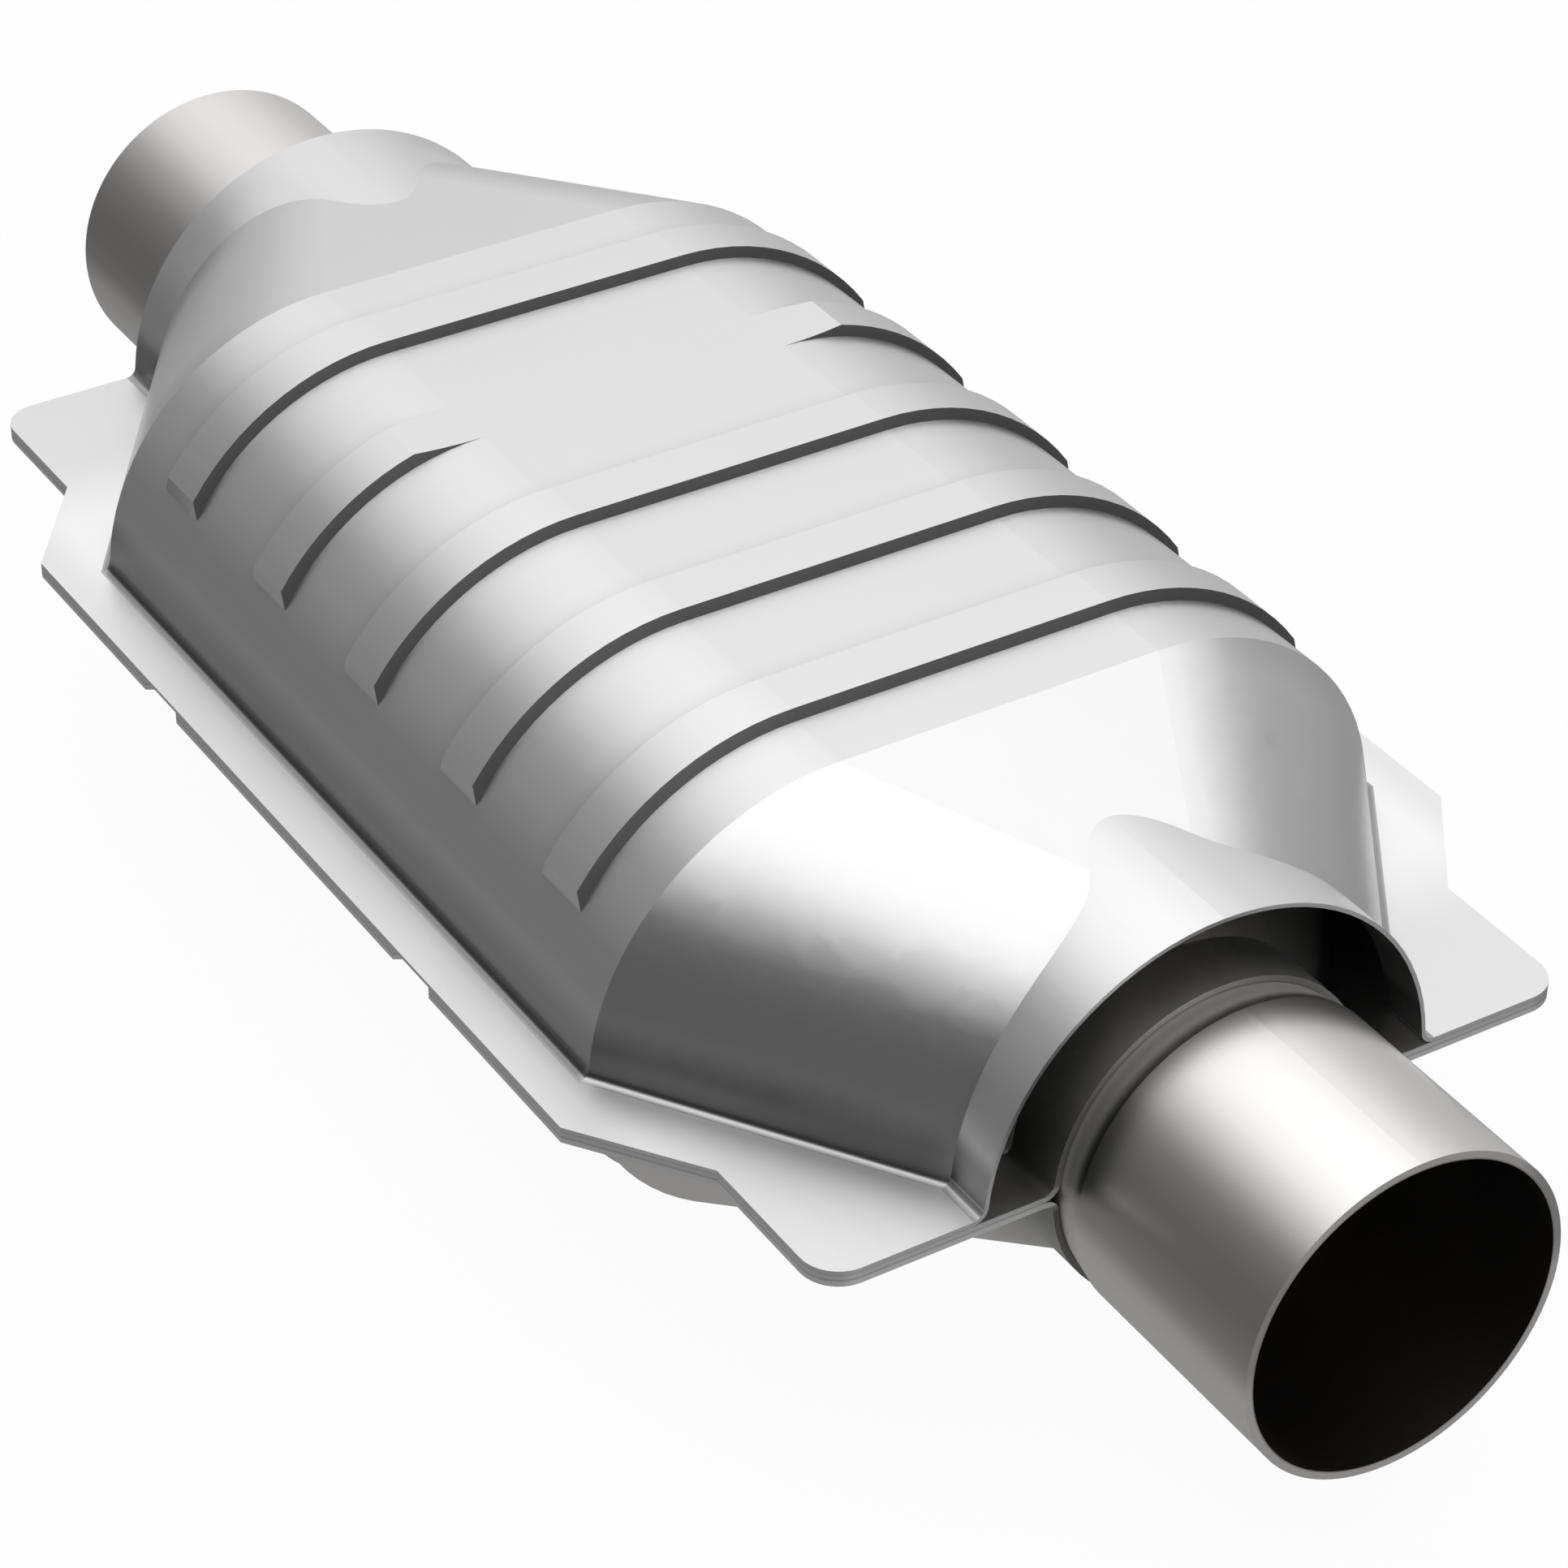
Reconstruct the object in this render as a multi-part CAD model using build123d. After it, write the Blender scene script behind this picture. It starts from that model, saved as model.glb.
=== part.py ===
# Universal-fit catalytic converter with an oval clamshell body.
#
# Two pressed stainless half shells are welded together at a flange on the pipe axis.
# They clamp two oval honeycomb bricks, each wrapped in a fibre mat with knitted wire
# seals at its edges. A swaged pipe stub is welded into the collar at each end, and a
# ribbed heat shield covers the upper half.
#
# X runs along the gas line from inlet to outlet, Y is across, Z is up.
# The origin is on the ground below the middle of the body. Millimetres throughout.

import os
from itertools import pairwise
from math import hypot, sqrt

from build123d import *
from build123d.topology import SkipClean

# Catalyst bricks and what holds them
brick_length = 68.0
brick_radius = 39.65
brick_flat = 31.4
brick_gap = 13.0
brick_end_room = 8.8
mat_thickness = 4.3
mat_edge_setback = 2.0
mat_tongue_reach = 16.0
mat_seam_gap = 0.6
seal_width = 5.0
seal_edge_bevel = 1.2
packing_gap = 0.05

# Half shells
shell_sheet = 1.15
cone_length = 56.7
collar_length = 12.0
foot_radius = 2.0
shell_rib_height = 1.2
shell_rib_width = 11.0
shell_rib_side_trim = 8.6

# Pipe stubs
pipe_outer_radius = 30.25
pipe_wall = 1.5
pipe_stickout = 51.2
swage_length = 6.5
insert_depth = 10.5
pipe_fit_gap = 0.1

# Heat shield
shield_sheet = 0.75
air_gap = 1.35
shield_overhang = 6.2
shield_neck_gap = 12.5
shield_cone_setback = 4.4
shield_cone_dip = 3.4
shield_neck_bury = 0.9
rib_count = 5
rib_end_margin = 13.5
rib_height = 1.8
rib_width = 12.6
rib_side_slope = 1.2
rib_side_trim = 6.7
blank_rib = 1

# Flange outline
flange_width = 10.1
flange_corner_reach = 8.6
flange_shoulder_run = 22.3
tab_width = 29.5
tab_corner_radius = 7.0
edge_notch_place = 47.5
edge_notch_width = 12.6
edge_notch_depth = 4.0
edge_notch_taper = 2.4

# Stations along the gas line, from the middle of the body
brick_inner_end = brick_gap / 2
brick_outer_end = brick_inner_end + brick_length
shell_body_end = brick_outer_end + brick_end_room
collar_start = shell_body_end + cone_length
flange_end = collar_start + collar_length
pipe_end = flange_end + pipe_stickout
shield_body_end = shell_body_end + shield_overhang
shield_cone_end = flange_end - shield_cone_setback
rib_pitch = 2 * (shell_body_end - rib_end_margin) / (rib_count - 1)

# Radii of the oval shoulders, all about the same two centres
mat_inner_radius = brick_radius + packing_gap
mat_outer_radius = mat_inner_radius + mat_thickness
shell_inner_radius = mat_outer_radius + packing_gap
shell_radius = shell_inner_radius + shell_sheet
shield_radius = shell_radius + air_gap + shield_sheet
shield_neck_radius = pipe_outer_radius + shield_neck_gap + shield_sheet
shield_cone_radius = shield_neck_radius - shield_cone_dip
spigot_radius = pipe_outer_radius - shell_sheet - pipe_fit_gap

# Heights above the pipe axis
shield_flange_bottom = shell_sheet
shield_flange_top = shell_sheet + shield_sheet
axis_height = shell_radius + shell_rib_height

# Flange widths
flange_half_width = brick_flat + shield_radius + flange_width
tab_half_width = shield_neck_radius + tab_width

cutter_margin = 2.0


def cross_plane(x):
    """Plane across the gas line at x, with its own x along Y and its own y along Z."""
    return Plane(origin=(x, 0, 0), x_dir=(0, 1, 0), z_dir=(1, 0, 0))


def unit_sum(a, b):
    """Unit vector half way between two unit vectors."""
    x, y = a[0] + b[0], a[1] + b[1]
    length = hypot(x, y)
    return x / length, y / length


def shoulder_face(x, flat, radius, foot, flare):
    """Half of an arched section at x, on the +Y side of its shoulder centre.

    The shoulder is an arc of this radius about (flat, 0). A concave arc of the flare
    radius runs from it on to the flange plane at the height foot.
    """
    rise = foot + flare
    flare_y = flat + sqrt((radius + flare) ** 2 - rise**2)
    reach = radius / (radius + flare)
    to_shoulder = ((flat - flare_y) / (radius + flare), -rise / (radius + flare))
    tangent = (flat + (flare_y - flat) * reach, rise * reach)
    down = unit_sum((0, -1), to_shoulder)
    up = unit_sum((0, 1), (-to_shoulder[0], -to_shoulder[1]))
    flare_mid = (flare_y + flare * down[0], rise + flare * down[1])
    shoulder_mid = (flat + radius * up[0], radius * up[1])
    outline = Wire(
        [
            Edge.make_line((flat, foot), (flare_y, foot)),
            Edge.make_three_point_arc((flare_y, foot), flare_mid, tangent),
            Edge.make_three_point_arc(tangent, shoulder_mid, (flat, radius)),
            Edge.make_line((flat, radius), (flat, foot)),
        ]
    )
    return cross_plane(x) * Face(outline)


def straight_arch(x_from, x_to, flat, radius, foot, flare):
    """Solid under an arched section that stays the same between two stations."""
    shoulder = extrude(shoulder_face(x_from, flat, radius, foot, flare), x_to - x_from)
    solid = shoulder + mirror(shoulder, about=Plane.XZ)
    if flat > 0:
        block = Box(x_to - x_from, 2 * flat, radius - foot, align=(Align.MIN, Align.CENTER, Align.MIN))
        solid += Pos(x_from, 0, foot) * block
    return solid


def pointed_block(x_from, x_to, flat, radii, foot):
    """Wedge between the two shoulders of a cone, flat-topped, narrowing to nothing."""
    plan = [(x_from, flat), (x_from, -flat), (x_to, 0)]
    side = [(x_from, foot), (x_to, foot), (x_to, radii[1]), (x_from, radii[0])]
    upright = extrude(Plane.XY.offset(foot) * Polygon(*plan, align=None), max(radii))
    across = extrude(Plane.XZ * Polygon(*side, align=None), flat, both=True)
    return upright & across


def arch_cone(x_from, x_to, flat, radii, foot, flare):
    """Solid under an arched section that tapers evenly until its two shoulders meet."""
    start = shoulder_face(x_from, flat, radii[0], foot, flare)
    end = shoulder_face(x_to, 0, radii[1], foot, flare)
    shoulder = Solid(loft([start, end], ruled=True).wrapped)
    wedge = pointed_block(x_from, x_to, flat, radii, foot)
    return shoulder + mirror(shoulder, about=Plane.XZ) + wedge


def both_ends(solid):
    """The solid and its mirror image at the other end of the converter."""
    return solid + mirror(solid, about=Plane.YZ)


def oval(x, radius):
    """Oval face at x, with a round end of this radius about each shoulder centre."""
    return cross_plane(x) * SlotCenterToCenter(2 * brick_flat, 2 * radius)


def oval_bar(x_from, x_to, radius):
    """Bar of oval section between two stations."""
    return extrude(oval(x_from, radius), x_to - x_from)


def rib_band(x, radius, width, height, side_trim, foot):
    """Raised flat-topped band round an oval body from the height foot up, centred at x.

    Its steep sides start below the body's surface, so the band joins it all along,
    and upright planes cut both of its lower ends.
    """
    slope = rib_side_slope / rib_height
    root = height / 2
    low, high = radius - root, radius + height
    half_foot = width / 2 + root * slope
    half_crest = width / 2 - height * slope
    band = oval_bar(x - half_crest, x + half_crest, high)
    for side in (-1, 1):
        foot_face = oval(x + side * half_foot, low)
        crest_face = oval(x + side * half_crest, high)
        band += Solid(loft([foot_face, crest_face], ruled=True).wrapped)
    reach = brick_flat + radius - side_trim
    keep = Box(2 * width, 2 * reach, 2 * high, align=(Align.CENTER, Align.CENTER, Align.MIN))
    return band & Pos(x, 0, foot) * keep


def flange_plate(bottom, thickness):
    """Flat flange sheet: a wide middle, angled shoulders and a rounded tab at each end."""
    corner_x = shield_body_end + flange_corner_reach
    shoulder_x = corner_x + flange_shoulder_run
    quarter = [
        (flange_end, tab_half_width),
        (shoulder_x, tab_half_width),
        (corner_x, flange_half_width),
    ]
    right_side = quarter + [(-x, y) for x, y in reversed(quarter)]
    outline = right_side + [(x, -y) for x, y in reversed(right_side)]
    plate = extrude(Plane.XY.offset(bottom) * Polygon(*outline, align=None), thickness)
    tab_corners = [
        edge
        for edge in plate.edges().filter_by(Axis.Z)
        if abs(abs(edge.center().X) - flange_end) < tab_corner_radius / 2
    ]
    return fillet(tab_corners, tab_corner_radius)


def edge_notches(bottom, thickness):
    """Shallow tapered notches in both long edges of the half shells' flanges."""
    outer = edge_notch_width / 2
    inner = outer - edge_notch_taper
    root = flange_half_width - edge_notch_depth
    outline = [
        (-inner, root),
        (inner, root),
        (outer, flange_half_width),
        (outer, flange_half_width + cutter_margin),
        (-outer, flange_half_width + cutter_margin),
        (-outer, flange_half_width),
    ]
    notch = extrude(Plane.XY.offset(bottom) * Polygon(*outline, align=None), thickness)
    notches = Part()
    for x in (-edge_notch_place, edge_notch_place):
        one = Pos(x, 0, 0) * notch
        notches += one + mirror(one, about=Plane.XZ)
    return notches


def rib_stations():
    """Places of the ribs along the body, from the inlet end to the outlet end."""
    first = -(rib_count - 1) / 2 * rib_pitch
    return [first + i * rib_pitch for i in range(rib_count)]


def ribbed_stretch(body_end, radius, band_width, foot, flare):
    """Straight middle of the body, in stretches that end at the feet of the ribs.

    The seams between the stretches keep each face of the shoulders a plain strip.
    """
    feet = [x + side * band_width / 2 for x in rib_stations() for side in (-1, 1)]
    stretch = Part()
    for x_from, x_to in pairwise([-body_end, *feet, body_end]):
        stretch += straight_arch(x_from, x_to, brick_flat, radius, foot, flare)
    return stretch


def half_shell_form(offset, foot, flare, overrun):
    """Arched form of a half shell, set in by the offset and run past both its ends."""
    body_radius = shell_radius - offset
    collar_radius = pipe_outer_radius - offset
    radii = (body_radius, collar_radius)
    band_width = shell_rib_width - offset
    band_trim = shell_rib_side_trim
    body = ribbed_stretch(shell_body_end, body_radius, band_width, foot, flare)
    cone = arch_cone(shell_body_end, collar_start, brick_flat, radii, foot, flare)
    collar = straight_arch(collar_start, flange_end + overrun, 0, collar_radius, foot, flare)
    form = body + both_ends(cone + collar)
    for x in rib_stations():
        form += rib_band(x, body_radius, band_width, shell_rib_height, band_trim, foot)
    return form


def half_shell():
    """Pressed upper half of the body: ribbed oval, two cones, two collars, one flange."""
    flange = flange_plate(0, shell_sheet) - edge_notches(0, shell_sheet)
    with SkipClean():
        outside = flange + half_shell_form(0, shell_sheet, foot_radius, 0)
        inside = half_shell_form(shell_sheet, 0, foot_radius + shell_sheet, cutter_margin)
        return outside - inside


def shield_form(offset, foot, flare, overrun):
    """Arched form of the heat shield, set in by the offset and run past both its ends.

    The neck is a half cylinder that starts buried in the cone, at this share of the way
    to where the cone is as high as the neck, so the two meet in a curved crease.
    """
    body_radius = shield_radius - offset
    cone_radius = shield_cone_radius - offset
    neck_radius = shield_neck_radius - offset
    sunk = (body_radius - neck_radius) / (body_radius - cone_radius)
    neck_start = shield_body_end + shield_neck_bury * sunk * (shield_cone_end - shield_body_end)
    radii = (body_radius, cone_radius)
    band_width = rib_width - offset
    band_trim = rib_side_trim + offset
    body = ribbed_stretch(shield_body_end, body_radius, band_width, foot, flare)
    cone = arch_cone(shield_body_end, shield_cone_end, brick_flat, radii, foot, flare)
    neck = straight_arch(neck_start, flange_end + overrun, 0, neck_radius, foot, flare)
    form = body + both_ends(cone + neck)
    for number, x in enumerate(rib_stations()):
        band = rib_band(x, body_radius, band_width, rib_height, band_trim, foot)
        if number == blank_rib:
            reach = 2 * (brick_flat + shield_radius)
            above = Box(rib_pitch, reach, reach, align=(Align.CENTER, Align.CENTER, Align.MIN))
            band -= Pos(x, 0, body_radius) * above
        form += band
    return form


def heat_shield():
    """Thin ribbed cover over the upper shell, with a flange and an arch at each end."""
    flange = flange_plate(shield_flange_bottom, shield_sheet)
    inner_radius = foot_radius + shield_sheet
    with SkipClean():
        outside = flange + shield_form(0, shield_flange_top, foot_radius, 0)
        inside = shield_form(shield_sheet, shield_flange_bottom, inner_radius, cutter_margin)
        return outside - inside


def pipe_stub():
    """Outlet pipe stub: a plain tube whose inner end is swaged down to fit the collar."""
    swage_end = flange_end + swage_length
    spigot_start = flange_end - insert_depth
    wall = [
        (spigot_start, spigot_radius - pipe_wall),
        (flange_end, spigot_radius - pipe_wall),
        (swage_end, pipe_outer_radius - pipe_wall),
        (pipe_end, pipe_outer_radius - pipe_wall),
        (pipe_end, pipe_outer_radius),
        (swage_end, pipe_outer_radius),
        (flange_end, spigot_radius),
        (spigot_start, spigot_radius),
    ]
    return revolve(Plane.XZ * Polygon(*wall, align=None), Axis.X)


def brick():
    """Outlet honeycomb brick, as its plain oval outline."""
    return oval_bar(brick_inner_end, brick_outer_end, brick_radius)


def packing_ring(x_from, x_to):
    """Oval ring that fills the space between a brick and the shell."""
    ring = oval_bar(x_from, x_to, mat_outer_radius)
    return ring - oval_bar(x_from - cutter_margin, x_to + cutter_margin, mat_inner_radius)


def mat():
    """Outlet mat: one strip wrapped round the brick, its ends joined tongue in groove."""
    start = brick_inner_end + mat_edge_setback + seal_width + packing_gap
    end = brick_outer_end - mat_edge_setback - seal_width - packing_gap
    third = (end - start) / 3
    tall = mat_outer_radius + cutter_margin
    half_gap = mat_seam_gap / 2
    runs = [
        (start - cutter_margin, start + third, 0),
        (start + third, end - third, mat_tongue_reach),
        (end - third, end + cutter_margin, 0),
    ]
    seam = Part()
    for x_from, x_to, y in runs:
        box = Box(x_to - x_from + mat_seam_gap, mat_seam_gap, tall, align=Align.MIN)
        seam += Pos(x_from - half_gap, y - half_gap, 0) * box
    for x in (start + third, end - third):
        box = Box(mat_seam_gap, mat_tongue_reach, tall, align=Align.MIN)
        seam += Pos(x - half_gap, 0, 0) * box
    return packing_ring(start, end) - seam


def edge_seal(x_from):
    """Knitted wire seal beside the mat, an oval ring with bevelled edges."""
    ring = packing_ring(x_from, x_from + seal_width)
    rims = ring.edges().filter_by(GeomType.CIRCLE) + ring.edges().filter_by(Axis.Y)
    return chamfer(rims, seal_edge_bevel)


def write(shape, name):
    """Save one piece, lifted so that the lower shell's ribs stand on the ground."""
    export_step(Pos(0, 0, axis_height) * shape, f"parts/{name}.step")


def write_both(shape, outlet_name, inlet_name):
    """Save a piece of the outlet end and its mirror image at the inlet end."""
    write(shape, outlet_name)
    write(mirror(shape, about=Plane.YZ), inlet_name)


os.makedirs("parts", exist_ok=True)

upper = half_shell()
write(upper, "upper_shell")
write(mirror(upper, about=Plane.XY), "lower_shell")
write(heat_shield(), "heat_shield")
write_both(pipe_stub(), "outlet_pipe", "inlet_pipe")
write_both(brick(), "outlet_substrate", "inlet_substrate")
write_both(mat(), "outlet_mat", "inlet_mat")
write_both(edge_seal(brick_inner_end + mat_edge_setback), "outlet_middle_seal", "inlet_middle_seal")
write_both(
    edge_seal(brick_outer_end - mat_edge_setback - seal_width),
    "outlet_end_seal",
    "inlet_end_seal",
)
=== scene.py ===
# Catalytic converter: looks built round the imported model, in the order it is put together.

from math import cos, pi, radians, sin

import bpy
import numpy as np
from mathutils import Matrix, Vector


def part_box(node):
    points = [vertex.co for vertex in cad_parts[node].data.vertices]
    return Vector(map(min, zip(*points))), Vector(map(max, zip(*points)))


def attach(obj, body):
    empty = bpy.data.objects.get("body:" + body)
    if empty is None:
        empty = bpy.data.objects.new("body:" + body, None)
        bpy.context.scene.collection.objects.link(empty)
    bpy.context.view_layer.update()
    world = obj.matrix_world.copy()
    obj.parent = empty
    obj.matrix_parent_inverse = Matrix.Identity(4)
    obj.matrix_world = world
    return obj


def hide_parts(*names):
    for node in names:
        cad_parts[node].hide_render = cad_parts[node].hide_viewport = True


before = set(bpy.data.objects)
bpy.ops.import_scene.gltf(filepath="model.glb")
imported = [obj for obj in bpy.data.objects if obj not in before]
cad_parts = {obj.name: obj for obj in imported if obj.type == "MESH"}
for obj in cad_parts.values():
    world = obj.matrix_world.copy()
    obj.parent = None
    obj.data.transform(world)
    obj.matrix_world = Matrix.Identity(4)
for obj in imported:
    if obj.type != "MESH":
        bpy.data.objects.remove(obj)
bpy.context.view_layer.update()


# Honeycomb bricks
# Each brick is extruded cordierite with a pale washcoat: thin walls that leave square
# channels from end to end, inside an oval skin. It is fired in one piece and held by its mat.

CELL_PITCH = 0.00127
CELL_WALL = 0.00021
SKIN = 0.0005
SKIN_STEPS = 120
LEVEL_SETBACK = 0.00002
HALF_MAT = 0.00215


class Net:
    """The nodes of one finish, or of the studio's light, which grow by add()."""

    def __init__(self, tree):
        self.tree = tree

    def add(self, kind, settings, sockets, output=0):
        """A node of this type: its settings first, then values or signals for its sockets."""
        node = self.tree.nodes.new(kind)
        for name, value in settings.items():
            setattr(node, name, value)
        for name, value in sockets.items():
            self.feed(node.inputs[name], value)
        return Signal(self, node.outputs[output])

    def feed(self, socket, value):
        """Gives a socket a constant, or links a signal to it."""
        if isinstance(value, Signal):
            self.tree.links.new(value.socket, socket)
        else:
            socket.default_value = value

    def work_out(self, operation, *values):
        """The result of one Math node."""
        return self.add("ShaderNodeMath", {"operation": operation}, dict(enumerate(values)))

    def place(self, scale=(1, 1, 1)):
        """Object coordinates in metres, stretched by a scale along each axis."""
        where = self.add("ShaderNodeTexCoord", {}, {}, "Object")
        return self.add("ShaderNodeMapping", {}, {"Vector": where, "Scale": scale})

    def noise(self, scale, detail=2.0, stretch=(1, 1, 1)):
        """Smooth noise from 0 to 1, with this many waves to the metre."""
        sockets = {"Vector": self.place(stretch), "Scale": scale, "Detail": detail}
        return self.add("ShaderNodeTexNoise", {"noise_dimensions": "3D"}, sockets, "Fac")

    def blend(self, share, low, high):
        """A colour between low and high."""
        sockets = {0: share, 6: low, 7: high}
        return self.add("ShaderNodeMix", {"data_type": "RGBA"}, sockets, 2)

    def split(self, vector):
        """The three parts of a vector."""
        first = self.add("ShaderNodeSeparateXYZ", {}, {"Vector": vector})
        return [Signal(self, out) for out in first.socket.node.outputs]


class Signal:
    """A number or colour on its way through the nodes. Arithmetic on it adds Math nodes."""

    def __init__(self, net, socket):
        self.net = net
        self.socket = socket

    def __add__(self, other):
        return self.net.work_out("ADD", self, other)

    def __sub__(self, other):
        return self.net.work_out("SUBTRACT", self, other)

    def __rsub__(self, other):
        return self.net.work_out("SUBTRACT", other, self)

    def __mul__(self, other):
        return self.net.work_out("MULTIPLY", self, other)

    __radd__ = __add__
    __rmul__ = __mul__

    def rise(self, low, high):
        """0 below low, 1 above high and a smooth step between them."""
        settings = {"interpolation_type": "SMOOTHSTEP"}
        sockets = {"Value": self, "From Min": low, "From Max": high}
        return self.net.add("ShaderNodeMapRange", settings, sockets)


class Finish(Net):
    """A named material and the sockets of its surface shader."""

    def __init__(self, name):
        self.material = bpy.data.materials.new(name)
        self.material.use_nodes = True
        super().__init__(self.material.node_tree)
        self.surface = self.tree.nodes["Principled BSDF"]

    def set(self, **sockets):
        """Feeds the surface shader; an underscore in a name stands for a space."""
        for name, value in sockets.items():
            self.feed(self.surface.inputs[name.replace("_", " ")], value)

    def shelter(self, reach):
        """1 in the open, falling to 0 in corners whose walls are nearer than the reach."""
        settings = {"samples": 4, "only_local": True}
        return self.add("ShaderNodeAmbientOcclusion", settings, {"Distance": reach}, "AO")

    def relief(self, height, depth):
        """Bumps of this depth in metres where the height goes from 0 to 1."""
        sockets = {"Height": height, "Distance": depth, "Strength": 1.0}
        return self.add("ShaderNodeBump", {}, sockets)


def coat(node_name, finish):
    """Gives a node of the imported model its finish."""
    for material_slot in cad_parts[node_name].material_slots:
        material_slot.material = finish.material


def new_piece(name, points, faces, finish, node_name):
    """A piece made of these points and faces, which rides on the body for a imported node."""
    mesh = bpy.data.meshes.new(name)
    mesh.from_pydata(points.reshape(-1, 3).tolist(), [], faces.reshape(-1, 4).tolist())
    mesh.materials.append(finish.material)
    mesh.update()
    piece = bpy.data.objects.new(name, mesh)
    bpy.context.scene.collection.objects.link(piece)
    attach(piece, "root")
    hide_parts(node_name)
    return piece


def bars(low, high):
    """Closed boxes, one between each low corner and the high corner in the same row."""
    pick = np.array([(i, j, k) for i in (0, 1) for j in (0, 1) for k in (0, 1)])
    points = np.where(pick[None], high[:, None], low[:, None])
    sides = [(0, 1, 3, 2), (4, 6, 7, 5), (0, 4, 5, 1), (2, 3, 7, 6), (0, 2, 6, 4), (1, 5, 7, 3)]
    faces = np.array(sides)[None] + 8 * np.arange(len(low))[:, None, None]
    return points.reshape(-1, 3), faces.reshape(-1, 4)


def on_oval(run, radius):
    """Y and Z of a point that has gone this run round an oval, from the middle of its top.

    The oval has two half circles about the ends of a level line, joined by straights. The
    run is measured where the radius is MIDDLE_RADIUS, so points of other radii stay abreast.
    """
    flat = BRICK_FLAT
    arc = pi * MIDDLE_RADIUS
    gone = np.mod(run + flat, LAP)
    turn = np.clip(gone - 2 * flat, 0, arc) + np.clip(gone - 4 * flat - arc, 0, arc)
    straight = np.clip(gone, 0, 2 * flat) - np.clip(gone - 2 * flat - arc, 0, 2 * flat)
    angle = turn / MIDDLE_RADIUS
    return straight - flat + radius * np.sin(angle), radius * np.cos(angle)


def ring_faces(stations, sides):
    """Quads of a closed tube whose grid has this many stations, each with these points."""
    here = np.arange(stations)[:, None] * sides
    there = np.roll(here, -1, axis=0)
    corner = np.arange(sides)
    after = np.roll(corner, -1)
    return np.stack([here + corner, here + after, there + after, there + corner], axis=-1)


BRICK_LOW, BRICK_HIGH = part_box("outlet_substrate")
BRICK_RADIUS = (BRICK_HIGH.z - BRICK_LOW.z) / 2
BRICK_FLAT = BRICK_HIGH.y - BRICK_RADIUS
AXIS_HEIGHT = (BRICK_HIGH.z + BRICK_LOW.z) / 2
MIDDLE_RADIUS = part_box("outlet_mat")[1].z - AXIS_HEIGHT - HALF_MAT
LAP = 4 * BRICK_FLAT + 2 * pi * MIDDLE_RADIUS


def honeycomb(node_name):
    """Points and faces of one brick.

    An upright wall at y is as tall as the oval is there, and a level wall at z is as wide
    as the oval is there. The level walls start a hair behind the upright ones.
    """
    low, high = (np.array(corner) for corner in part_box(node_name))
    reach = BRICK_RADIUS - SKIN / 2
    y = np.arange(CELL_PITCH / 2, BRICK_FLAT + reach, CELL_PITCH)
    y = np.concatenate([-y[::-1], y])
    tall = np.sqrt(reach**2 - np.clip(np.abs(y) - BRICK_FLAT, 0, reach) ** 2)
    z = np.arange(CELL_PITCH / 2, reach, CELL_PITCH)
    z = np.concatenate([-z[::-1], z])
    wide = BRICK_FLAT + np.sqrt(reach**2 - z**2)
    half = CELL_WALL / 2
    start = np.concatenate([np.full(len(y), low[0]), np.full(len(z), low[0] + LEVEL_SETBACK)])
    end = np.concatenate([np.full(len(y), high[0]), np.full(len(z), high[0] - LEVEL_SETBACK)])
    left = np.concatenate([y - half, -wide])
    right = np.concatenate([y + half, wide])
    bottom = np.concatenate([-tall, z - half]) + AXIS_HEIGHT
    top = np.concatenate([tall, z + half]) + AXIS_HEIGHT
    walls, wall_faces = bars(np.stack([start, left, bottom], 1), np.stack([end, right, top], 1))
    run = np.arange(SKIN_STEPS)[:, None] / SKIN_STEPS * LAP
    inside = BRICK_RADIUS - SKIN
    across, above = on_oval(run, np.array([BRICK_RADIUS, BRICK_RADIUS, inside, inside]))
    x = np.broadcast_to(np.array([low[0], high[0], high[0], low[0]]), across.shape)
    skin = np.stack([x, across, above + AXIS_HEIGHT], axis=-1).reshape(-1, 3)
    skin_faces = ring_faces(SKIN_STEPS, 4).reshape(-1, 4) + len(walls)
    return np.concatenate([walls, skin]), np.concatenate([wall_faces, skin_faces])


ceramic = Finish("washcoated ceramic")
mottle = ceramic.noise(180, 3)
ceramic.set(
    Base_Color=ceramic.blend(mottle, (0.50, 0.43, 0.33, 1), (0.60, 0.53, 0.42, 1)),
    Roughness=0.85,
    Normal=ceramic.relief(ceramic.noise(2500), 0.00004),
)
for name in ("outlet", "inlet"):
    points, faces = honeycomb(f"{name}_substrate")
    new_piece(f"{name}_honeycomb", points, faces, ceramic, f"{name}_substrate")


# Fibre mats
# Each mat is a felt of ceramic fibre with flakes that swell when hot. The strip is cut to
# shape, wrapped round its brick and squeezed by the half shells, which grips the brick.

MAT_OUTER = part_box("outlet_mat")[1].z - AXIS_HEIGHT
MAT_GAP = 0.00005
MAT_INNER = BRICK_RADIUS + MAT_GAP
MAT_CELL = 0.0022
TONGUE = 0.016
SEAM_GAP = 0.0006
FELT_WAVE = 0.00012
FELT_TURNS = 260
EDGE_WAVE = 0.0004
EDGE_TURNS = 420


def spaced(marks):
    """Evenly spaced stops about a cell apart, with every mark among them."""
    steps = [max(1, round((b - a) / MAT_CELL)) for a, b in zip(marks, marks[1:])]
    runs = [np.linspace(a, b, n, endpoint=False) for a, b, n in zip(marks, marks[1:], steps)]
    return np.concatenate(runs + [marks[-1:]])


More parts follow.
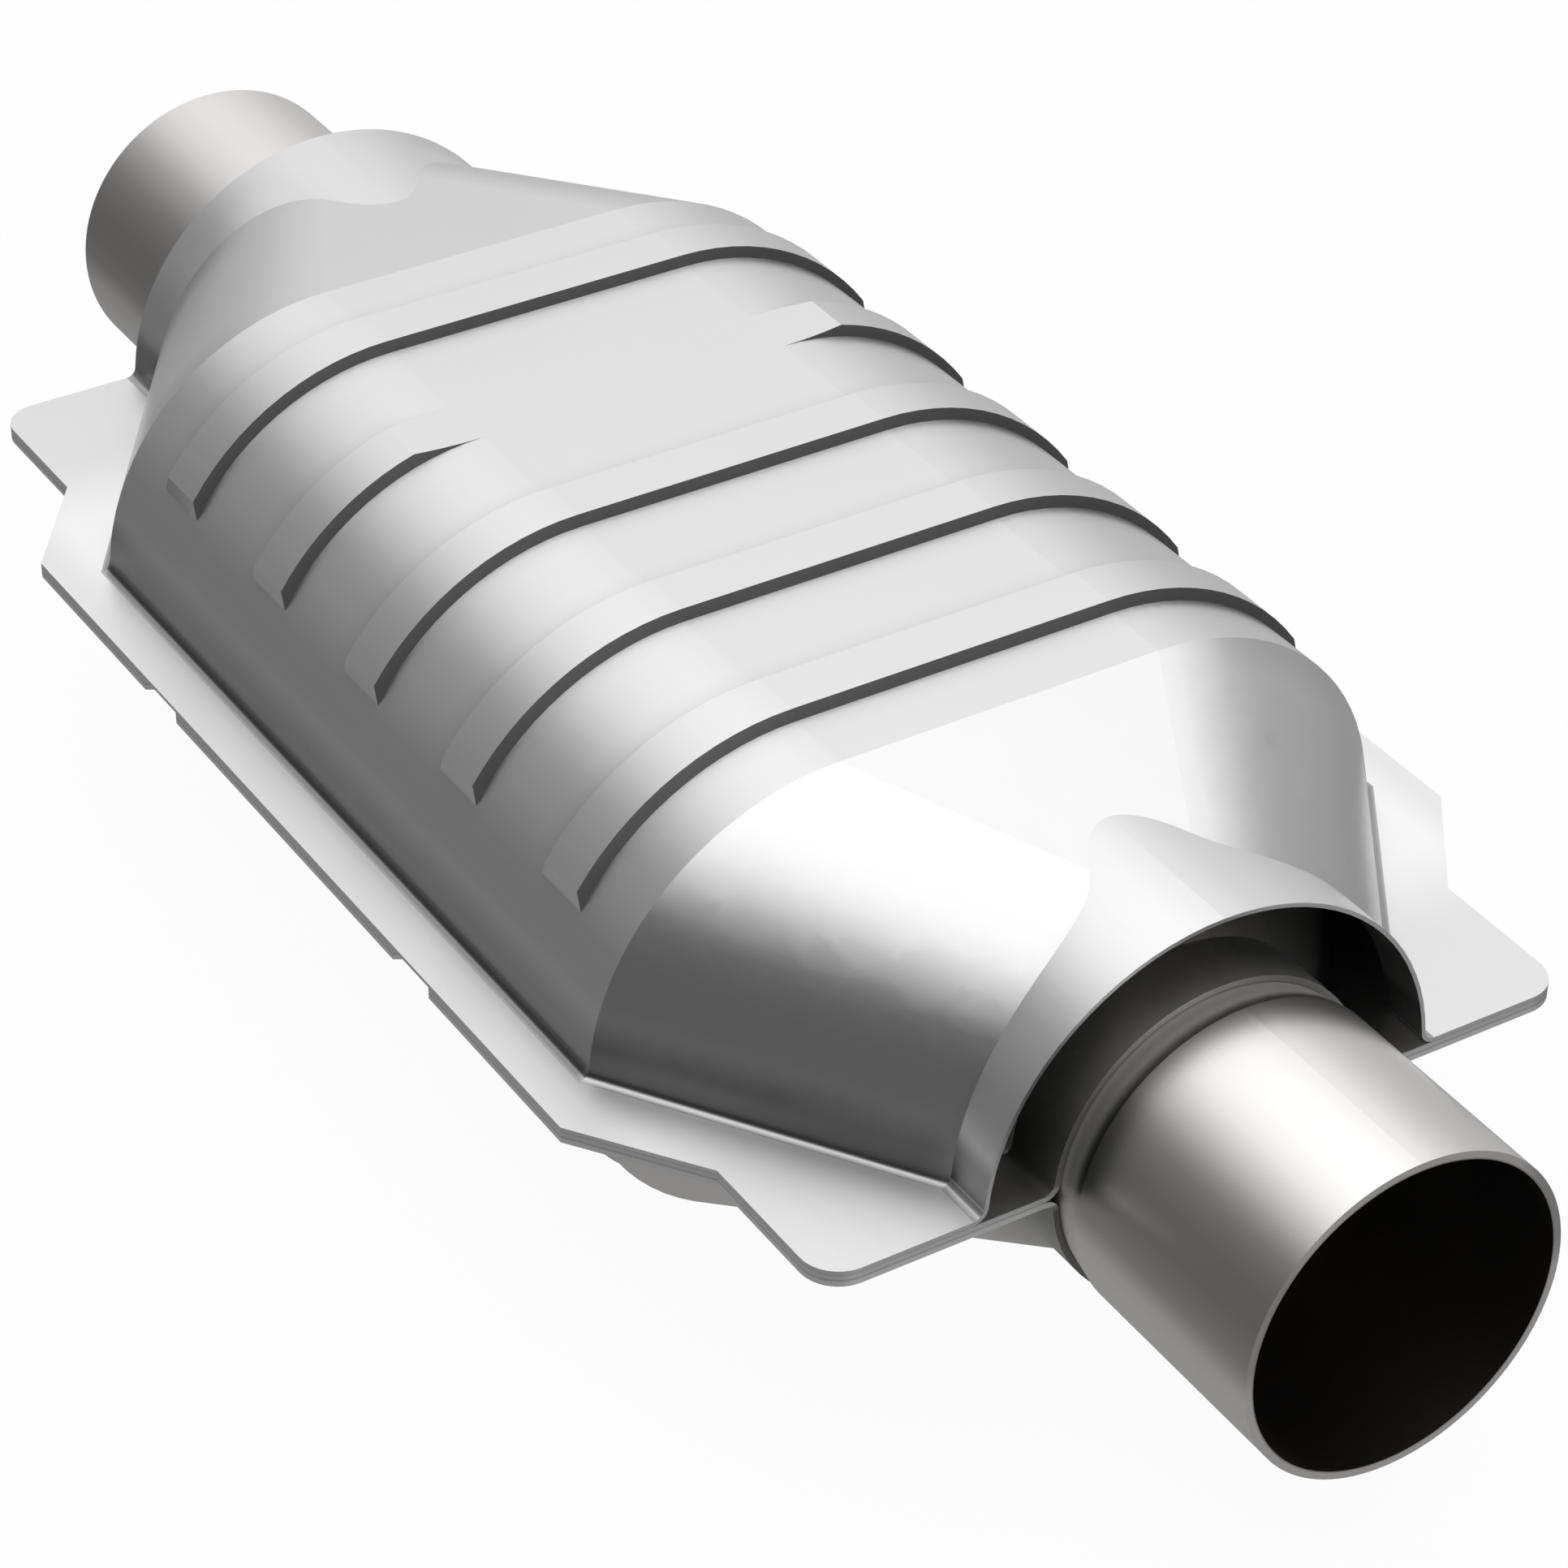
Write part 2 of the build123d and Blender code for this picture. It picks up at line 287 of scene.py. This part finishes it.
def wavy(run, x, turns):
    """A soft uneven height from 0 to 1: the mean of three crossing sine waves.

    The first has this many radians to the metre of run, and the others are a little quicker
    and slower. Each also turns with x, at a pace of its own, so that no pattern repeats.
    """
    slow = np.sin(run * turns + x * 311)
    quick = np.sin(run * turns * 1.7 - x * 523 + 1.3)
    slant = np.sin(run * turns * 0.6 + x * 827 + 2.1)
    return 0.5 + (slow + quick + slant) / 6


def mat_strip(node_name):
    """Points and faces of one mat, a ring of felt parted by a stepped seam.

    The ring is a grid of cells, by the run round the oval and by the place along the gas
    line. The seam leaves out the cells between its marks, and each cell on the edge of
    what is left gets a wall down to the inner face. Felt is uneven: the outer face lies up
    to FELT_WAVE low and the outer rims up to EDGE_WAVE short, by the height of wavy().
    """
    low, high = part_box(node_name)
    third = (high.x - low.x) / 3
    gap = SEAM_GAP / 2
    run = spaced(np.array([-gap, gap, TONGUE - gap, TONGUE + gap, LAP - gap]))[:-1]
    steps = (low.x + third, low.x + 2 * third)
    marks = [low.x, *(step + side for step in steps for side in (-gap, gap)), high.x]
    x = spaced(np.array(marks))
    run_mid = run + np.diff(np.append(run, LAP - gap)) / 2
    x_mid = (x[:-1] + x[1:]) / 2
    middle = (x_mid > steps[0]) & (x_mid < steps[1])
    in_step = np.minimum(abs(x_mid - steps[0]), abs(x_mid - steps[1])) < gap
    plain_seam = (abs(run_mid) < gap)[:, None] & ~middle[None]
    tongue_seam = (abs(run_mid - TONGUE) < gap)[:, None] & middle[None]
    step_seam = ((run_mid > -gap) & (run_mid < TONGUE + gap))[:, None] & in_step[None]
    felt_here = ~(plain_seam | tongue_seam | step_seam)

    grid_run, grid_x = np.meshgrid(run, x, indexing="ij")
    rim = EDGE_WAVE * wavy(grid_run, 0, EDGE_TURNS)
    shorter = np.where(grid_x == x[0], rim, 0) - np.where(grid_x == x[-1], rim, 0)
    levels = []
    for radius in (MAT_INNER, MAT_OUTER - FELT_WAVE * wavy(grid_run, grid_x, FELT_TURNS)):
        across, above = on_oval(grid_run, radius)
        levels.append(np.stack([grid_x + shorter, across, above + AXIS_HEIGHT], axis=-1))
    points = np.stack(levels)

    rows, columns = len(run), len(x)
    number = np.arange(2 * rows * columns).reshape(2, rows, columns)
    ahead = np.roll(number, -1, axis=1)
    here = (number[:, :, :-1], ahead[:, :, :-1], ahead[:, :, 1:], number[:, :, 1:])
    inner, outer = (np.stack([corner[level] for corner in here], axis=-1) for level in (0, 1))
    sheets = [inner[felt_here], outer[felt_here][:, ::-1]]
    empty = np.zeros((rows, 1), bool)
    beside = (
        (np.roll(felt_here, 1, axis=0), 0, 3),
        (np.roll(felt_here, -1, axis=0), 2, 1),
        (np.concatenate([empty, felt_here[:, :-1]], axis=1), 1, 0),
        (np.concatenate([felt_here[:, 1:], empty], axis=1), 3, 2),
    )
    for neighbour, first, last in beside:
        edge = felt_here & ~neighbour
        corners = (inner[..., first], inner[..., last], outer[..., last], outer[..., first])
        sheets.append(np.stack([corner[edge] for corner in corners], axis=-1))
    return points, np.concatenate(sheets)


felt = Finish("fibre felt")
flakes = felt.noise(900, 2).rise(0.58, 0.66)
felt.set(
    Base_Color=felt.blend(flakes, (0.66, 0.62, 0.54, 1), (0.42, 0.31, 0.16, 1)),
    Roughness=0.95,
    Normal=felt.relief(felt.noise(1500, 4, (0.2, 1, 1)), 0.0002),
)
for name in ("outlet", "inlet"):
    points, faces = mat_strip(f"{name}_mat")
    mat = new_piece(f"{name}_fibre_mat", points, faces, felt, f"{name}_mat")


# Wire seals
# Each seal is a rope of knitted stainless wire, pressed to the gap beside the mat's edge,
# where it keeps the hot gas off the fibres.

WIRE_RADIUS = 0.00022
WIRES_EACH_WAY = 9
WIRE_TURNS = 30
STOPS_A_TURN = 10
DIPS_A_TURN = 3
WIRE_SIDES = 4
CORE_SHARE = 0.86
CORE_SIDES = 12
CORE_STEPS = 160
ASLANT = np.array([1.0, 0.3, 0.2])


def knitted_rope(node_name):
    """Points and faces of one seal: wires wound both ways round a core that follows the oval.

    A wire's place on the rope's oval section turns evenly with its run, one way or the
    other, and it dips under every second crossing by a cosine of DIPS_A_TURN times its
    turn. The wire's own section is a small square about that line, and the core fills
    CORE_SHARE of the rope.
    """
    low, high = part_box(node_name)
    centre = (low.x + high.x) / 2
    half_wide = (high.x - low.x) / 2 - 2 * WIRE_RADIUS
    half_tall = (MAT_OUTER - MAT_INNER) / 2 - 2 * WIRE_RADIUS
    middle = (MAT_OUTER + MAT_INNER) / 2

    def place(run, angle, size):
        """Points at this angle round the rope's section, which is this share of full size."""
        across, above = on_oval(run, middle + size * half_tall * np.sin(angle))
        x = np.broadcast_to(centre + size * half_wide * np.cos(angle), across.shape)
        return np.stack([x, across, above + AXIS_HEIGHT], axis=-1)

    stops = WIRE_TURNS * STOPS_A_TURN
    run = np.arange(stops)[None] / stops * LAP
    start = np.arange(WIRES_EACH_WAY)[:, None] / WIRES_EACH_WAY * 2 * pi
    lines = []
    for way in (1, -1):
        angle = start + way * 2 * pi * WIRE_TURNS * run / LAP
        dip = way * np.cos(DIPS_A_TURN * (angle - start)) * WIRE_RADIUS / half_tall
        lines.append(place(run, angle, 1 + dip))
    line = np.concatenate(lines)
    along = np.roll(line, -1, axis=1) - np.roll(line, 1, axis=1)
    along /= np.linalg.norm(along, axis=-1, keepdims=True)
    side = np.cross(along, ASLANT)
    side /= np.linalg.norm(side, axis=-1, keepdims=True)
    out = np.cross(side, along)
    around = (np.arange(WIRE_SIDES) / WIRE_SIDES * 2 * pi)[:, None]
    square = np.cos(around) * side[..., None, :] + np.sin(around) * out[..., None, :]
    wires = (line[..., None, :] + WIRE_RADIUS * square).reshape(-1, 3)
    one = ring_faces(stops, WIRE_SIDES).reshape(1, -1, 4)
    firsts = np.arange(2 * WIRES_EACH_WAY)[:, None, None] * stops * WIRE_SIDES
    wire_faces = (one + firsts).reshape(-1, 4)

    core_run = np.arange(CORE_STEPS)[:, None] / CORE_STEPS * LAP
    core_angle = -np.arange(CORE_SIDES)[None] / CORE_SIDES * 2 * pi
    core = place(core_run, core_angle, CORE_SHARE).reshape(-1, 3)
    core_faces = ring_faces(CORE_STEPS, CORE_SIDES).reshape(-1, 4) + len(wires)
    return np.concatenate([wires, core]), np.concatenate([wire_faces, core_faces])


knit = Finish("knitted wire")
knit.set(
    Base_Color=knit.blend(knit.noise(300), (0.30, 0.28, 0.26, 1), (0.62, 0.60, 0.57, 1)),
    Metallic=1.0,
    Roughness=0.42,
    Normal=knit.relief(knit.noise(1800, 2), 0.0004),
)
for name in ("outlet_middle", "inlet_middle", "outlet_end", "inlet_end"):
    points, faces = knitted_rope(f"{name}_seal")
    new_piece(f"{name}_wire_seal", points, faces, knit, f"{name}_seal")


# Half shells
# The upper and lower shells are pressed from 1.15 mm stainless sheet and seam welded
# together at the flange, with the bricks clamped between them.

JOIN_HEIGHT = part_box("lower_shell")[1].z
SHIELD_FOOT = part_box("heat_shield")[0].z
SHEET = 0.00115
ON_SHEET = (SHEET + 0.0001, SHEET + 0.00025)
SEAM_LINE = (0.00008, 0.0003)
RIM_FACING = (0.90, 0.98)
RIM_HEIGHT = (0.0015, 0.003)
CORNER_REACH = 0.020
CONE_START = 0.125
COLLAR_START = 0.150
SEAM_SHADE = 0.24
CORNER_SHADE = 0.60
RIM_SHADE = 0.50
COLLAR_SHADOW = 0.45
SHELL_TONES = ((0.80, 0.787, 0.770, 1), (0.86, 0.847, 0.830, 1))
EDGE_TONE_AND_LIGHT = ((0.86, 0.86, 0.86, 1), (0.97, 0.97, 0.97, 1))
BLACK = (0, 0, 0, 1)

shell_steel = Finish("pressed shell steel")
shell_grain = shell_steel.noise(700, 3, (0.12, 1, 1))
shell_cloud = shell_steel.noise(28, 2)
along, _, height = shell_steel.split(shell_steel.place())
facing = shell_steel.add("ShaderNodeNewGeometry", {}, {}, "Normal")
lengthwise, _, skyward = shell_steel.split(facing)
from_join = shell_steel.work_out("ABSOLUTE", height - JOIN_HEIGHT)
from_foot = shell_steel.work_out("ABSOLUTE", height - SHIELD_FOOT)
cut_edge = 1 - shell_steel.work_out("ABSOLUTE", skyward).rise(0.05, 0.20)
cut_edge = cut_edge * (1 - from_join.rise(*ON_SHEET))
# Painted shade: a thin dark line where the sheets meet at the flange's edges.
seam = 2 - from_join.rise(*SEAM_LINE) - from_foot.rise(*SEAM_LINE)
below_join = 1 - height.rise(JOIN_HEIGHT - 0.0001, JOIN_HEIGHT)
# Painted shade in corners and pockets, from an ambient occlusion node.
in_the_open = shell_steel.shelter(CORNER_REACH).rise(0.5, 1.0)
# Painted shade on the collar's rim.
collar_rim = shell_steel.work_out("ABSOLUTE", lengthwise).rise(*RIM_FACING)
collar_rim = collar_rim * from_join.rise(*RIM_HEIGHT)
# Painted shadow of the flange on the cones and collar below the join.
from_middle = shell_steel.work_out("ABSOLUTE", along)
by_the_collar = from_middle.rise(CONE_START, COLLAR_START) * below_join
# Painted shade: seam lines, corners, collar rims and the flange's shadow by the collar. The steel
# itself is even.
brightness = 1 - SEAM_SHADE * seam * cut_edge
brightness = brightness * (1 - CORNER_SHADE * (1 - in_the_open) * (1 - cut_edge))
brightness = brightness * (1 - RIM_SHADE * collar_rim)
brightness = brightness * (1 - COLLAR_SHADOW * by_the_collar * (1 - cut_edge))
face_tone = shell_steel.blend(shell_cloud, *SHELL_TONES)
# The cut edges' tone, with painted light on the edges below the join.
edge_tone_and_light = shell_steel.blend(below_join, *EDGE_TONE_AND_LIGHT)
shell_tone = shell_steel.blend(cut_edge, face_tone, edge_tone_and_light)
shell_steel.set(
    Base_Color=shell_steel.blend(brightness, BLACK, shell_tone),
    Metallic=1.0,
    Roughness=0.40 + 0.08 * shell_grain,
)
coat("upper_shell", shell_steel)
coat("lower_shell", shell_steel)


# Pipe stubs
# Each stub is cut from drawn stainless tube, swaged down at one end to slide into the
# collar and welded there. Its surface is finely brushed round the tube.

BORE_RADIUS = 0.02875
SWAGE_END = 0.1585
FLANK = (0.0190, 0.0248)
FLANK_SHADE = 0.34
SWAGED_SHARE = 0.8
TUBE_TONES = ((0.835, 0.82, 0.80, 1), (0.855, 0.84, 0.82, 1))
SWAGED_LIGHT = (0.98, 0.965, 0.945, 1)
BORE_SHADE = (0.40, 0.385, 0.37, 1)

tube_steel = Finish("brushed tube steel")
brushing = tube_steel.noise(1600, 2, (1, 0.03, 0.03))
outside_tone = tube_steel.blend(brushing, *TUBE_TONES)
along, across, height = tube_steel.split(tube_steel.place())
swaged = 1 - tube_steel.work_out("ABSOLUTE", along).rise(SWAGE_END - 0.003, SWAGE_END)
above_axis = height - AXIS_HEIGHT
from_axis = tube_steel.work_out("SQRT", across * across + above_axis * above_axis)
flank = tube_steel.work_out("ABSOLUTE", across).rise(*FLANK)
flank = flank * above_axis.rise(-0.004, 0.004)
# Painted shade darkens the flanks above the axis; the steel itself is even.
outside_tone = tube_steel.blend(FLANK_SHADE * flank, outside_tone, BLACK)
# Painted light on the swaged end.
outside_tone = tube_steel.blend(SWAGED_SHARE * swaged, outside_tone, SWAGED_LIGHT)
# Painted shade inside the bore.
open_side = from_axis.rise(BORE_RADIUS, BORE_RADIUS + 0.0004)
tube_steel.set(
    Base_Color=tube_steel.blend(open_side, BORE_SHADE, outside_tone),
    Metallic=1.0,
    Roughness=0.29 + 0.012 * brushing + 0.27 * swaged,
)
coat("outlet_pipe", tube_steel)
coat("inlet_pipe", tube_steel)


# Heat shield
# The shield is pressed from 0.75 mm stainless sheet with five ribs, and its flange is spot
# welded on top of the upper shell's, which leaves a thin gap of air over the body.

FLANGE_RISE = 0.0019
FLANGE_TOP = AXIS_HEIGHT + FLANGE_RISE
BODY_END = 0.0895
RIB_REACH = 0.0725
NECK = (0.138, 0.148)
TAB = (0.105, 0.130)
FLANGE_EDGE = (0.078, 0.087)
WALL_FOOT = (0.0052, 0.0125)
BODY_FOOT = (0.0013, 0.0026)
POCKET_REACH = 0.0060
REAR_CONE = (-0.100, -0.090)
FRONT_CONE = (0.090, 0.100)
WALL_LIGHT = 0.823
FLANGE_LIGHT = 0.05
BY_WALL_LIGHT = 0.14
REAR_LIGHT = 0.17
FAR_LIGHT = 0.15
SHIELD_TONES = ((0.96, 0.96, 0.96, 1), (0.995, 0.995, 0.995, 1))

shield_steel = Finish("pressed shield steel")
shield_grain = shield_steel.noise(800, 3, (0.1, 1, 1))
shield_cloud = shield_steel.noise(22, 2)
along, across, height = shield_steel.split(shield_steel.place())
above_flange = height - FLANGE_TOP
on_flange = 1 - above_flange.rise(0.0001, 0.0004)
facing = shield_steel.add("ShaderNodeNewGeometry", {}, {}, "Normal")
lengthwise, sideways, skyward = shield_steel.split(facing)
upright = shield_steel.work_out("ABSOLUTE", sideways)
beside_body = 1 - shield_steel.work_out("ABSOLUTE", along).rise(BODY_END - 0.002, BODY_END)
# Painted shade at the wall's foot, the body's foot, the foot bend, rib ends, rib steps and
# pockets.
wall_foot = upright.rise(0.55, 0.70) * (1 - above_flange.rise(*WALL_FOOT)) * (1 - on_flange)
on_neck = shield_steel.work_out("ABSOLUTE", along).rise(*NECK)
wall_foot = wall_foot * (1 - 0.60 * on_neck)
foot_bend = upright.rise(0.02, 0.10) * (1 - upright.rise(0.45, 0.60)) * on_flange
foot_bend = foot_bend * skyward.rise(0.30, 0.60)
rib_step = shield_steel.work_out("ABSOLUTE", lengthwise).rise(0.50, 0.75) * beside_body
inner_side = 1 - shield_steel.work_out("ABSOLUTE", across).rise(RIB_REACH, RIB_REACH + 0.001)
rib_end = upright.rise(0.96, 0.98) * inner_side * (1 - on_flange)
body_foot = above_flange.rise(0.0, 0.0001) * (1 - above_flange.rise(*BODY_FOOT)) * beside_body
in_the_open = shield_steel.shelter(POCKET_REACH).rise(0.50, 1.0)
in_pocket = (1 - in_the_open) * (1 - on_flange)
on_tab = shield_steel.work_out("ABSOLUTE", along).rise(*TAB)
by_the_wall = 1 - shield_steel.work_out("ABSOLUTE", across).rise(*FLANGE_EDGE)
# Painted light on the flange, most beside the wall.
flange_light = (FLANGE_LIGHT + BY_WALL_LIGHT * by_the_wall) * (1 - on_tab) * on_flange
# Painted light on the rear cone's flanks and on the +Y flank of the front cone.
rear_flank = (1 - along.rise(*REAR_CONE)) * upright.rise(0.25, 0.55) * (1 - on_neck)
far_flank = along.rise(*FRONT_CONE) * sideways.rise(0.10, 0.35)
far_flank = far_flank * (1 - sideways.rise(0.60, 0.80))
# Painted light on the flange and cone flanks, painted shade in the zones below; the steel is even.
brightness = WALL_LIGHT * (1 + flange_light)
painted_shades = (
    (0.68, wall_foot),
    (0.38, body_foot),
    (0.35, rib_end),
    (0.38, rib_step),
    (0.45, foot_bend),
    (0.50, in_pocket),
)
for share, zone in painted_shades:
    brightness = brightness * (1 - share * zone)
brightness = brightness * (1 + REAR_LIGHT * rear_flank) * (1 + FAR_LIGHT * far_flank)
shield_tone = shield_steel.blend(shield_cloud, *SHIELD_TONES)
shield_steel.set(
    Base_Color=shield_steel.blend(brightness, BLACK, shield_tone),
    Metallic=1.0,
    Roughness=0.26 + 0.07 * shield_grain + 0.14 * on_flange,
)
coat("heat_shield", shield_steel)


# Studio
# The converter lies on a plain white floor under soft light from above and from behind,
# and the long lens looks down at it over its outlet end.

LOOK_FROM_SIDE = radians(57.887)
LOOK_DOWN = radians(34.964)
LOOK_ROLL = radians(0.541)
AIM = Vector((0.01431, 0.00536, 0.03105))
DISTANCE = 0.9
FOCAL_PIXELS = 6099.669
PHOTO_PIXELS = 1932
SENSOR = 36.0
CLIP_START = 0.05
BACKDROP = 0.97
ALL_ROUND = 0.085
STRENGTH = 1.25
FLOOR_HEIGHT = -0.0002
FLOOR_SIZE = 3.0
FLOOR_TONE = 0.05
FLOOR_GLOW = 0.955

half = FLOOR_SIZE / 2
floor_mesh = bpy.data.meshes.new("floor")
places = ((-half, -half), (half, -half), (half, half), (-half, half))
floor_mesh.from_pydata([(x, y, FLOOR_HEIGHT) for x, y in places], [], [(0, 1, 2, 3)])
floor = bpy.data.objects.new("floor", floor_mesh)
bpy.context.scene.collection.objects.link(floor)
paper = Finish("white floor")
paper.set(
    Base_Color=(FLOOR_TONE, FLOOR_TONE, FLOOR_TONE, 1),
    Roughness=1.0,
    Specular_IOR_Level=0.0,
    Emission_Color=(1, 1, 1, 1),
    Emission_Strength=FLOOR_GLOW,
)
from_under = paper.add("ShaderNodeNewGeometry", {}, {}, "Backfacing")
clear = paper.add("ShaderNodeBsdfTransparent", {}, {})
surface = Signal(paper, paper.surface.outputs[0])
one_sided = paper.add("ShaderNodeMixShader", {}, {0: from_under, 1: surface, 2: clear})
paper.feed(paper.tree.nodes["Material Output"].inputs["Surface"], one_sided)
floor_mesh.materials.append(paper.material)
floor.visible_glossy = False

world = bpy.data.worlds.new("studio")
world.use_nodes = True
bpy.context.scene.world = world
studio = Net(world.node_tree)
direction = studio.add("ShaderNodeTexCoord", {}, {}, "Generated")
_, _, up = studio.split(direction)


def towards(azimuth, elevation):
    """How nearly a direction points to this place on the studio's walls, at most 1."""
    level = cos(radians(elevation))
    aim = (level * cos(radians(azimuth)), level * sin(radians(azimuth)), sin(radians(elevation)))
    sockets = {0: direction, 1: aim}
    return studio.add("ShaderNodeVectorMath", {"operation": "DOT_PRODUCT"}, sockets, "Value")


back_glow = towards(143, 8).rise(0.57, 1.0)
high_glow = towards(155, 42).rise(0.70, 1.0)
side_glow = towards(-143, 36).rise(0.80, 1.0)
low_glow = towards(-137, -5).rise(0.80, 1.0)
end_glow = towards(12, -5).rise(0.78, 1.0)
dark_end = towards(10, 0).rise(0.20, 0.90)
from_above = (up + 0.02 * back_glow - 0.28 * dark_end).rise(0.45, 1.0)
from_below = 0.17 * (-1.0 * up).rise(0.2, 0.8)
from_the_sides = ALL_ROUND + 0.37 * back_glow + 0.235 * high_glow
from_the_sides = from_the_sides + 0.13 * side_glow + 0.06 * low_glow + 0.30 * end_glow
overhead = 0.18 * up.rise(0.965, 1.0)
light = (from_above + from_below + from_the_sides - overhead) * STRENGTH
seen = studio.add("ShaderNodeLightPath", {}, {}, "Is Camera Ray")
backdrop = world.node_tree.nodes["Background"]
studio.feed(backdrop.inputs["Color"], studio.blend(seen, light, (BACKDROP, BACKDROP, BACKDROP, 1)))
studio.feed(backdrop.inputs["Strength"], 1.0)

camera = bpy.data.cameras.new("camera")
camera.sensor_width = SENSOR
camera.lens = SENSOR * FOCAL_PIXELS / PHOTO_PIXELS
camera.clip_start = CLIP_START
viewer = bpy.data.objects.new("camera", camera)
bpy.context.scene.collection.objects.link(viewer)
bpy.context.scene.camera = viewer
back = Vector(
    (sin(LOOK_FROM_SIDE) * cos(LOOK_DOWN), -cos(LOOK_FROM_SIDE) * cos(LOOK_DOWN), sin(LOOK_DOWN))
)
level = Vector((cos(LOOK_FROM_SIDE), sin(LOOK_FROM_SIDE), 0))
upright = back.cross(level)
right = level * cos(LOOK_ROLL) + upright * sin(LOOK_ROLL)
pose = Matrix((right, back.cross(right), back)).transposed().to_4x4()
pose.translation = AIM + DISTANCE * back
viewer.matrix_world = pose

bpy.context.scene.view_settings.view_transform = "Standard"
